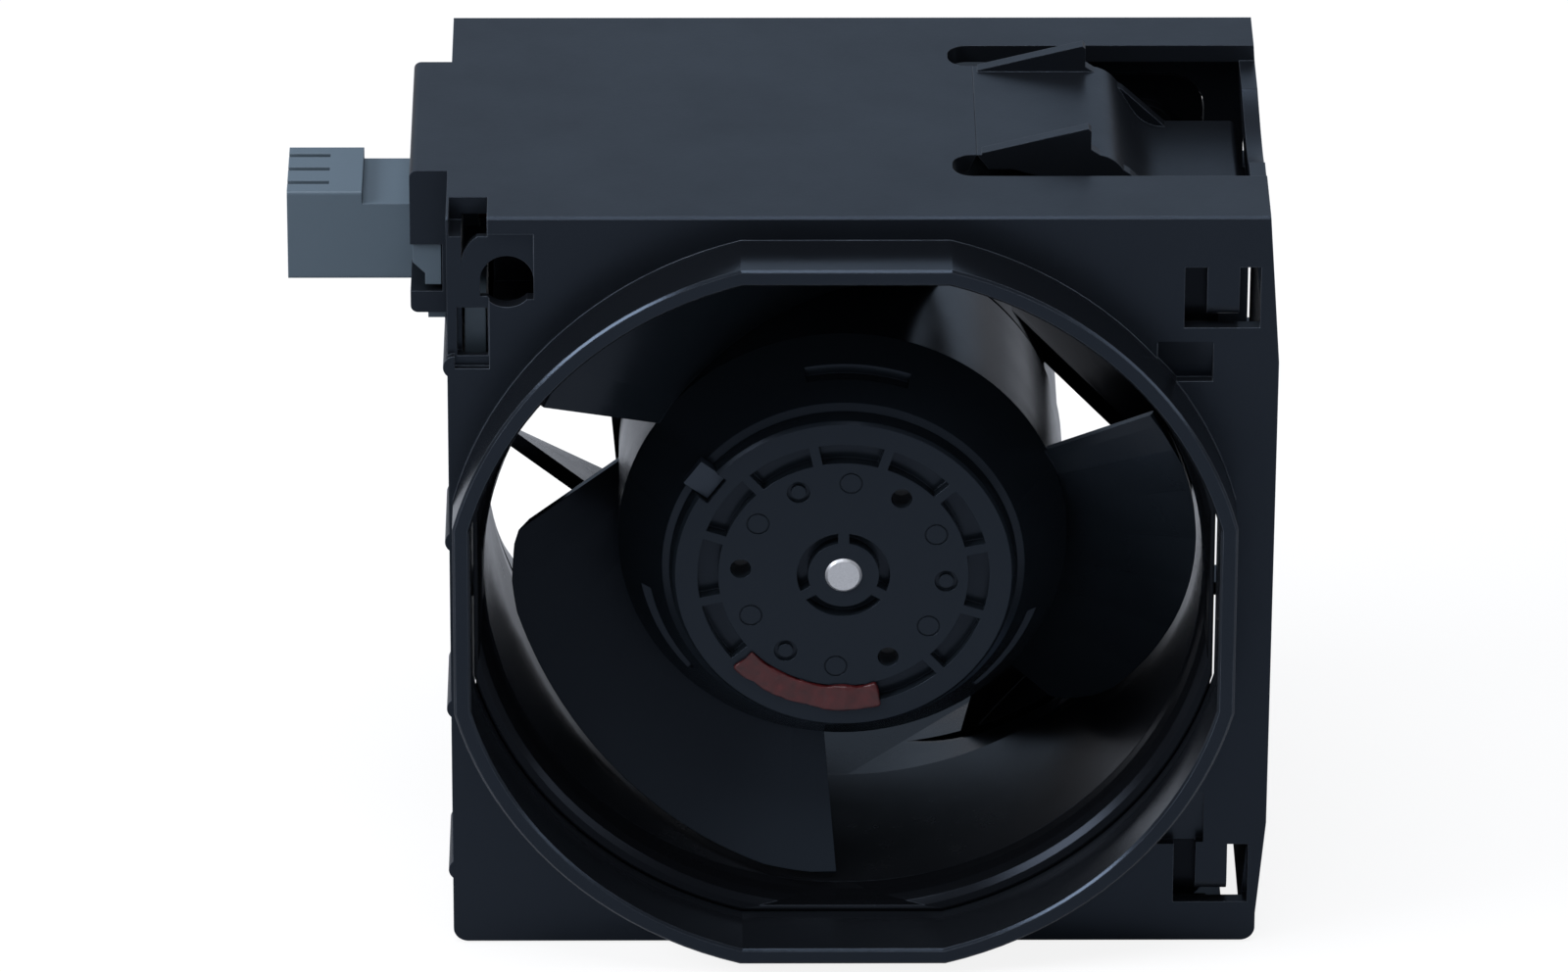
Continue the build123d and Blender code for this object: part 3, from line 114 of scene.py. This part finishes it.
def moulded(
    name,
    colour,
    wear_and_highlight,
    roughness,
    grain_mm,
    grain_depth,
    sheen_tint,
    edge=0.5,
    specular=0.5,
    polish=0.0,
):
    """Injection-moulded plastic: eroded grain, slow mottling, thin edges painted lighter, partly as
    rubbed wear and partly as a painted highlight.

    What stands in front of the front face comes from a polished part of the tool, by polish.
    """
    material, tree, shader, place = fresh(name)
    grain = put(
        tree,
        "ShaderNodeTexNoise",
        {"Scale": 1000 / grain_mm, "Detail": 2.0, "Roughness": 0.6},
        {"Vector": place},
    ).outputs["Fac"]
    mottle = put(
        tree,
        "ShaderNodeTexNoise",
        {"Scale": 1000 / 9.0, "Detail": 5.0, "Roughness": 0.65},
        {"Vector": place},
    ).outputs["Fac"]
    mask, rounded = edge_mask(tree, 0.11, 0.7, 0.97)
    depth = put(tree, "ShaderNodeSeparateXYZ", {}, {0: place}).outputs["Y"]
    near = put(
        tree,
        "ShaderNodeMapRange",
        {"From Min": FRONT_Y + 0.0012, "From Max": FRONT_Y - 0.0008, "To Min": 0.3, "To Max": 1.0},
        {"Value": depth},
    ).outputs["Result"]
    patchy = put(
        tree,
        "ShaderNodeMapRange",
        {"From Min": 0.38, "From Max": 0.62, "To Min": 0.25, "To Max": 1.0},
        {"Value": mottle},
    ).outputs["Result"]
    # Edges painted lighter, most along the front lips: partly rubbed wear, partly a painted
    # highlight
    rubbed_and_highlit = put(tree, "ShaderNodeMath", {"operation": "MULTIPLY"}, {0: mask, 1: patchy}).outputs[0]
    rubbed_and_highlit = put(tree, "ShaderNodeMath", {"operation": "MULTIPLY"}, {0: rubbed_and_highlit, 1: near}).outputs[0]
    rubbed_and_highlit = put(tree, "ShaderNodeMath", {"operation": "MULTIPLY", 1: edge}, {0: rubbed_and_highlit}).outputs[0]
    base = put(
        tree,
        "ShaderNodeMix",
        {"data_type": "RGBA", 6: tone(colour), 7: tone(wear_and_highlight)},
        {0: rubbed_and_highlit},
    )
    tree.links.new(base.outputs[2], shader.inputs["Base Color"])
    gloss = put(
        tree,
        "ShaderNodeMapRange",
        {"From Min": 0.3, "From Max": 0.7, "To Min": roughness - 0.04, "To Max": roughness + 0.05},
        {"Value": mottle},
    ).outputs["Result"]
    if polish:
        shine = put(
            tree,
            "ShaderNodeMapRange",
            {"From Min": FRONT_Y, "From Max": FRONT_Y - 0.0006, "To Min": 0.0, "To Max": -polish},
            {"Value": depth},
        ).outputs["Result"]
        gloss = put(tree, "ShaderNodeMath", {"operation": "ADD"}, {0: gloss, 1: shine}).outputs[0]
    tree.links.new(gloss, shader.inputs["Roughness"])
    bump = put(
        tree,
        "ShaderNodeBump",
        {"Strength": 0.6, "Distance": grain_depth / 1000},
        {"Height": grain, "Normal": rounded},
    )
    tree.links.new(bump.outputs["Normal"], shader.inputs["Normal"])
    shader.inputs["IOR"].default_value = 1.53
    shader.inputs["Specular IOR Level"].default_value = specular
    shader.inputs["Specular Tint"].default_value = tone(sheen_tint)
    return material


def metal(name, colour, roughness, grain_mm, stretch=(1, 1, 1)):
    """Bare metal with fine machining marks along its turning."""
    material, tree, shader, place = fresh(name)
    turned = put(tree, "ShaderNodeMapping", {"Scale": stretch}, {"Vector": place}).outputs["Vector"]
    marks = put(
        tree,
        "ShaderNodeTexNoise",
        {"Scale": 1000 / grain_mm, "Detail": 3.0, "Roughness": 0.6},
        {"Vector": turned},
    ).outputs["Fac"]
    shade = put(
        tree,
        "ShaderNodeMix",
        {"data_type": "RGBA", 6: tone(colour), 7: [c * 0.8 for c in tone(colour)[:3]] + [1]},
        {0: marks},
    )
    tree.links.new(shade.outputs[2], shader.inputs["Base Color"])
    gloss = put(
        tree,
        "ShaderNodeMapRange",
        {"From Min": 0.3, "From Max": 0.7, "To Min": roughness - 0.06, "To Max": roughness + 0.08},
        {"Value": marks},
    ).outputs["Result"]
    tree.links.new(gloss, shader.inputs["Roughness"])
    bump = put(
        tree, "ShaderNodeBump", {"Strength": 0.3, "Distance": 0.00002}, {"Height": marks}
    )
    tree.links.new(bump.outputs["Normal"], shader.inputs["Normal"])
    shader.inputs["Metallic"].default_value = 1.0
    return material


# Carrier: glass-filled nylon moulded against a spark-eroded tool: a fine matt grain,
# with lips painted pale, partly as rubbed wear and partly as a painted highlight, and the collar
# glossier
carrier_nylon = moulded(
    "carrier_nylon",
    colour="#0f1114",
    wear_and_highlight="#8a929c",
    roughness=0.36,
    grain_mm=0.28,
    grain_depth=0.008,
    sheen_tint="#bcd2ee",
    edge=0.9,
    specular=0.38,
    polish=0.17,
)
# Fan frame: PBT, black, a little duller than the blades
frame_pbt = moulded(
    "frame_pbt",
    colour="#08090b",
    wear_and_highlight="#454c55",
    roughness=0.24,
    grain_mm=0.5,
    grain_depth=0.002,
    sheen_tint="#c6d6ee",
    edge=0.35,
    specular=0.14,
)
# Blades: PBT, smoother than the carrier, so they catch crisp streaks of light
blade_pbt = moulded(
    "blade_pbt",
    colour="#181d22",
    wear_and_highlight="#59616b",
    roughness=0.22,
    grain_mm=0.5,
    grain_depth=0.002,
    sheen_tint="#c6d6ee",
    edge=0.4,
    specular=0.26,
)
# Plug: natural grey nylon, satin
plug_nylon = moulded(
    "plug_nylon",
    colour="#505d66",
    wear_and_highlight="#a9b4bd",
    roughness=0.48,
    grain_mm=0.35,
    grain_depth=0.008,
    sheen_tint="#dfeaf6",
    edge=0.5,
)
# Balance tab: dark grey moulding, matt
tab_nylon = moulded(
    "tab_nylon",
    colour="#262d36",
    wear_and_highlight="#7d8791",
    roughness=0.5,
    grain_mm=0.3,
    grain_depth=0.01,
    sheen_tint="#d4e2f4",
    edge=0.6,
)
# Corner pads: black rubber, dull
pad_rubber = moulded(
    "pad_rubber",
    colour="#0d0e10",
    wear_and_highlight="#1c1d1f",
    roughness=0.7,
    grain_mm=0.5,
    grain_depth=0.02,
    sheen_tint="#ffffff",
    edge=0.2,
    specular=0.3,
)
# Bobbins and bearing cages: natural nylon, cream
bobbin_nylon = moulded(
    "bobbin_nylon",
    colour="#cfc8b4",
    wear_and_highlight="#e6e1d2",
    roughness=0.45,
    grain_mm=0.4,
    grain_depth=0.006,
    sheen_tint="#ffffff",
    edge=0.4,
)
# Shaft: centreless-ground steel, bright grey end with fine marks
shaft_steel = metal(
    "shaft_steel",
    colour="#dcdddf",
    roughness=0.5,
    grain_mm=0.18,
)
# Bearing steel: lapped, mirror-like
race_steel = metal(
    "race_steel",
    colour="#c4c6c8",
    roughness=0.14,
    grain_mm=0.3,
)
# Yoke: drawn steel with dull zinc
yoke_zinc = metal(
    "yoke_zinc",
    colour="#8f9396",
    roughness=0.42,
    grain_mm=0.6,
)
# Turned brass
sleeve_brass = metal(
    "sleeve_brass",
    colour="#c8a257",
    roughness=0.3,
    grain_mm=0.3,
    stretch=(1, 6, 1),
)
# Tinned bronze contacts
contact_tin = metal(
    "contact_tin",
    colour="#b9b8b2",
    roughness=0.3,
    grain_mm=0.3,
)
# Stacked laminations show as fine lines across the stack
core_steel = metal(
    "core_steel",
    colour="#8b8d90",
    roughness=0.4,
    grain_mm=0.9,
    stretch=(0.1, 3, 0.1),
)
# Enamelled copper wire in layers
coil_copper = metal(
    "coil_copper",
    colour="#b5663a",
    roughness=0.3,
    grain_mm=0.5,
    stretch=(1, 1, 1),
)
# Rolled aluminium can of a capacitor
can_aluminium = metal(
    "can_aluminium",
    colour="#c9cbce",
    roughness=0.25,
    grain_mm=0.4,
)


def plain_finish(name, colour, second, roughness, grain_mm, coat=0.0):
    """Non-metal finish with a slow change between two tones."""
    material, tree, shader, place = fresh(name)
    speckle = put(
        tree,
        "ShaderNodeTexNoise",
        {"Scale": 1000 / grain_mm, "Detail": 3.0, "Roughness": 0.55},
        {"Vector": place},
    ).outputs["Fac"]
    shade = put(
        tree, "ShaderNodeMix", {"data_type": "RGBA", 6: tone(colour), 7: tone(second)}, {0: speckle}
    )
    tree.links.new(shade.outputs[2], shader.inputs["Base Color"])
    gloss = put(
        tree,
        "ShaderNodeMapRange",
        {"From Min": 0.3, "From Max": 0.7, "To Min": roughness - 0.05, "To Max": roughness + 0.08},
        {"Value": speckle},
    ).outputs["Result"]
    tree.links.new(gloss, shader.inputs["Roughness"])
    bump = put(tree, "ShaderNodeBump", {"Strength": 0.5, "Distance": 0.00005}, {"Height": speckle})
    tree.links.new(bump.outputs["Normal"], shader.inputs["Normal"])
    shader.inputs["Coat Weight"].default_value = coat
    return material


# Ferrite magnet: dark sintered grey
magnet_ferrite = plain_finish(
    "magnet_ferrite",
    colour="#3a3b3e",
    second="#2b2c2f",
    roughness=0.6,
    grain_mm=0.4,
)
# Glass-epoxy board with green solder mask
board_mask = plain_finish(
    "board_mask",
    colour="#0f4a2a",
    second="#0b3a20",
    roughness=0.3,
    grain_mm=1.2,
    coat=0.3,
)
# Chip bodies: black moulding epoxy
chip_epoxy = plain_finish(
    "chip_epoxy",
    colour="#17181a",
    second="#242527",
    roughness=0.55,
    grain_mm=0.3,
)
# Film label, left bare: pale satin polyester
label_film = plain_finish(
    "label_film",
    colour="#c9ccd0",
    second="#bfc3c8",
    roughness=0.35,
    grain_mm=6.0,
    coat=0.2,
)
# Balancing lacquer: dark red, brushed on thick, glossy with dull streaks
putty_lacquer = plain_finish(
    "putty_lacquer",
    colour="#1f0305",
    second="#531012",
    roughness=0.38,
    grain_mm=0.7,
    coat=0.1,
)
# Lead insulation: PVC, satin
lead_red_pvc = plain_finish(
    "lead_red_pvc",
    colour="#8c1c1c",
    second="#7a1616",
    roughness=0.4,
    grain_mm=1.5,
)
lead_black_pvc = plain_finish(
    "lead_black_pvc",
    colour="#17181a",
    second="#202124",
    roughness=0.4,
    grain_mm=1.5,
)
lead_yellow_pvc = plain_finish(
    "lead_yellow_pvc",
    colour="#c9a11f",
    second="#b88f18",
    roughness=0.4,
    grain_mm=1.5,
)
lead_blue_pvc = plain_finish(
    "lead_blue_pvc",
    colour="#1f3f8c",
    second="#1a3576",
    roughness=0.4,
    grain_mm=1.5,
)

finishes = {
    carrier_nylon: ["carrier_shell", "release_latch"],
    frame_pbt: ["fan_frame"],
    blade_pbt: ["impeller"],
    plug_nylon: ["plug_housing", "plug_keeper"],
    tab_nylon: ["balance_tab"],
    pad_rubber: ["corner_pad_1", "corner_pad_2", "corner_pad_3"],
    bobbin_nylon: ["front_insulator", "rear_insulator", "front_cage", "rear_cage"],
    shaft_steel: ["shaft", "preload_spring", "thrust_washer", "retaining_clip"],
    race_steel: [
        "front_outer_race", "rear_outer_race", "front_inner_race", "rear_inner_race",
        "front_balls", "rear_balls",
    ],
    yoke_zinc: ["rotor_yoke"],
    sleeve_brass: ["bearing_sleeve", "shaft_bush"],
    contact_tin: ["plug_contacts", "winding_pins"],
    core_steel: ["stator_core"],
    coil_copper: ["coil_1", "coil_2", "coil_3", "coil_4", "coil_5", "coil_6"],
    can_aluminium: ["capacitor_1", "capacitor_2"],
    magnet_ferrite: ["magnet_ring"],
    board_mask: ["circuit_board"],
    chip_epoxy: ["driver_chip", "hall_sensor"],
    label_film: ["motor_label"],
    putty_lacquer: ["balance_putty"],
    lead_red_pvc: ["lead_red"],
    lead_black_pvc: ["lead_black"],
    lead_yellow_pvc: ["lead_yellow"],
    lead_blue_pvc: ["lead_blue"],
}
for material, names in finishes.items():
    for name in names:
        mesh = nodes[name].data
        mesh.materials.clear()
        mesh.materials.append(material)


def lacquer_stroke():
    """Balancing lacquer brushed over the hub's pockets: a thick uneven arc with ragged ends."""
    start, sweep = radians(STROKE_START), radians(STROKE_SWEEP)
    bpy.ops.object.select_all(action="DESELECT")
    bpy.ops.mesh.primitive_plane_add(
        size=1,
        location=(
            STROKE_RADIUS * cos(start),
            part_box("balance_putty")[0].y + STROKE_THICK / 2,
            AXIS_Z + STROKE_RADIUS * sin(start),
        ),
        rotation=(0, -start, 0),
    )
    stroke = bpy.context.object
    stroke.name = "lacquer_stroke"
    stroke.scale = (STROKE_WIDTH, STROKE_THICK, 1)
    bpy.ops.object.transform_apply(location=True, rotation=True, scale=True)
    bpy.ops.object.mode_set(mode="EDIT")
    bpy.ops.mesh.select_all(action="SELECT")
    bpy.ops.mesh.subdivide(number_cuts=4)
    bpy.ops.mesh.spin(steps=60, angle=-sweep, center=(0, 0, AXIS_Z), axis=(0, -1, 0))
    bpy.ops.mesh.select_all(action="SELECT")
    bpy.ops.mesh.remove_doubles(threshold=0.00001)
    bpy.ops.mesh.normals_make_consistent(inside=False)
    bpy.ops.object.mode_set(mode="OBJECT")
    for name, size, strength in (("brush_drag", 0.0022, 0.0007), ("brush_hair", 0.0006, 0.00022)):
        ripple = bpy.data.textures.new(name, "CLOUDS")
        ripple.noise_scale = size
        lumps = stroke.modifiers.new(name, "DISPLACE")
        lumps.texture = ripple
        lumps.texture_coords = "LOCAL"
        lumps.strength = strength
        lumps.mid_level = 0.55
        bpy.ops.object.modifier_apply(modifier=name)
    smooth = stroke.modifiers.new("smooth", "SUBSURF")
    smooth.levels = smooth.render_levels = 1
    bpy.ops.object.modifier_apply(modifier="smooth")
    bpy.ops.object.shade_smooth_by_angle(angle=radians(50))
    stroke.data.materials.append(putty_lacquer)
    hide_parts("balance_putty")
    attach(stroke, "rotor")
    return stroke


lacquer_stroke()

# Floor: matt white sheet that runs to the horizon, seen almost white, keeping the shadow
bpy.ops.mesh.primitive_plane_add(size=8, location=(0, 0, -0.0002))
floor = bpy.context.object
floor.name = "floor"
sheet, tree, shader, place = fresh("white_sheet")
path = put(tree, "ShaderNodeLightPath")
paper = put(
    tree,
    "ShaderNodeMix",
    {"data_type": "RGBA", 6: tone("#b2b3b5"), 7: tone("#ffffff")},
    {0: path.outputs["Is Camera Ray"]},
)
tree.links.new(paper.outputs[2], shader.inputs["Base Color"])
shader.inputs["Roughness"].default_value = 0.9
bright = put(tree, "ShaderNodeEmission", {"Color": (1, 1, 1, 1), "Strength": 1.0})
share = put(
    tree, "ShaderNodeMath", {"operation": "MULTIPLY", 1: 0.86}, {0: path.outputs["Is Camera Ray"]}
)
blend = put(
    tree,
    "ShaderNodeMixShader",
    {},
    {0: share.outputs[0], 1: shader.outputs["BSDF"], 2: bright.outputs["Emission"]},
)
tree.links.new(blend.outputs[0], tree.nodes["Material Output"].inputs["Surface"])
floor.data.materials.append(sheet)

# Surroundings: a white room to the camera, a soft grey one to the object
world = bpy.data.worlds.new("white_room")
bpy.context.scene.world = world
world.use_nodes = True
tree = world.node_tree
tree.nodes.clear()
path = put(tree, "ShaderNodeLightPath")
seen = put(tree, "ShaderNodeBackground", {"Color": (1, 1, 1, 1), "Strength": 1.0})
lit = put(tree, "ShaderNodeBackground", {"Color": tone("#f0f4ff"), "Strength": 0.38})
both = put(
    tree,
    "ShaderNodeMixShader",
    {},
    {0: path.outputs["Is Camera Ray"], 1: lit.outputs[0], 2: seen.outputs[0]},
)
put(tree, "ShaderNodeOutputWorld", {}, {"Surface": both.outputs[0]})


def softbox(name, place, aim, width, height, power, colour="#ffffff"):
    """Rectangular studio lamp at a place, turned to a point."""
    lamp = bpy.data.lights.new(name, "AREA")
    lamp.shape = "RECTANGLE"
    lamp.size = width
    lamp.size_y = height
    lamp.energy = power
    lamp.color = tone(colour)[:3]
    holder = bpy.data.objects.new(name, lamp)
    holder.location = place
    holder.rotation_euler = (Vector(aim) - Vector(place)).to_track_quat("-Z", "Y").to_euler()
    holder.visible_camera = False
    bpy.context.scene.collection.objects.link(holder)
    return holder


softbox(
    "back_light",
    place=(0, 1.3, 0.68),
    aim=(0, 0, 0.04),
    width=1.7,
    height=1.0,
    power=1.85,
    colour="#a8d6ff",
)
softbox(
    "left_light",
    place=(-0.9, -0.35, 0.7),
    aim=(0, 0, 0.03),
    width=0.5,
    height=0.5,
    power=11,
    colour="#f2f6ff",
)
softbox(
    "right_light",
    place=(0.95, -0.2, 0.5),
    aim=(0, 0, 0.03),
    width=0.4,
    height=0.6,
    power=2,
    colour="#f2f6ff",
)
softbox(
    "top_light",
    place=(-0.1, -0.3, 1.2),
    aim=(0, 0, 0.03),
    width=0.7,
    height=0.5,
    power=8,
    colour="#f6f9ff",
)

# Camera at the photograph's place, turn and lens
CAMERA_PLACE = Vector((-0.012565, -0.862532, 0.47352))
SENSOR_MM = 36
LENS_MM = 269.13
turn, tilt, roll = radians(0.521), radians(27.087), radians(0.169)
ahead = Vector((sin(turn) * cos(tilt), cos(turn) * cos(tilt), -sin(tilt)))
level = Vector((cos(turn), -sin(turn), 0))
over = level.cross(ahead)
across = level * cos(roll) + over * sin(roll)
upward = over * cos(roll) - level * sin(roll)
lens = bpy.data.cameras.new("camera")
lens.sensor_width = SENSOR_MM
lens.lens = LENS_MM
lens.clip_start = 0.01
lens.clip_end = 50
camera = bpy.data.objects.new("camera", lens)
frame_matrix = Matrix((across, upward, -ahead)).transposed().to_4x4()
frame_matrix.translation = CAMERA_PLACE
camera.matrix_world = frame_matrix
bpy.context.scene.collection.objects.link(camera)
bpy.context.scene.camera = camera

bpy.context.scene.view_settings.view_transform = "Standard"
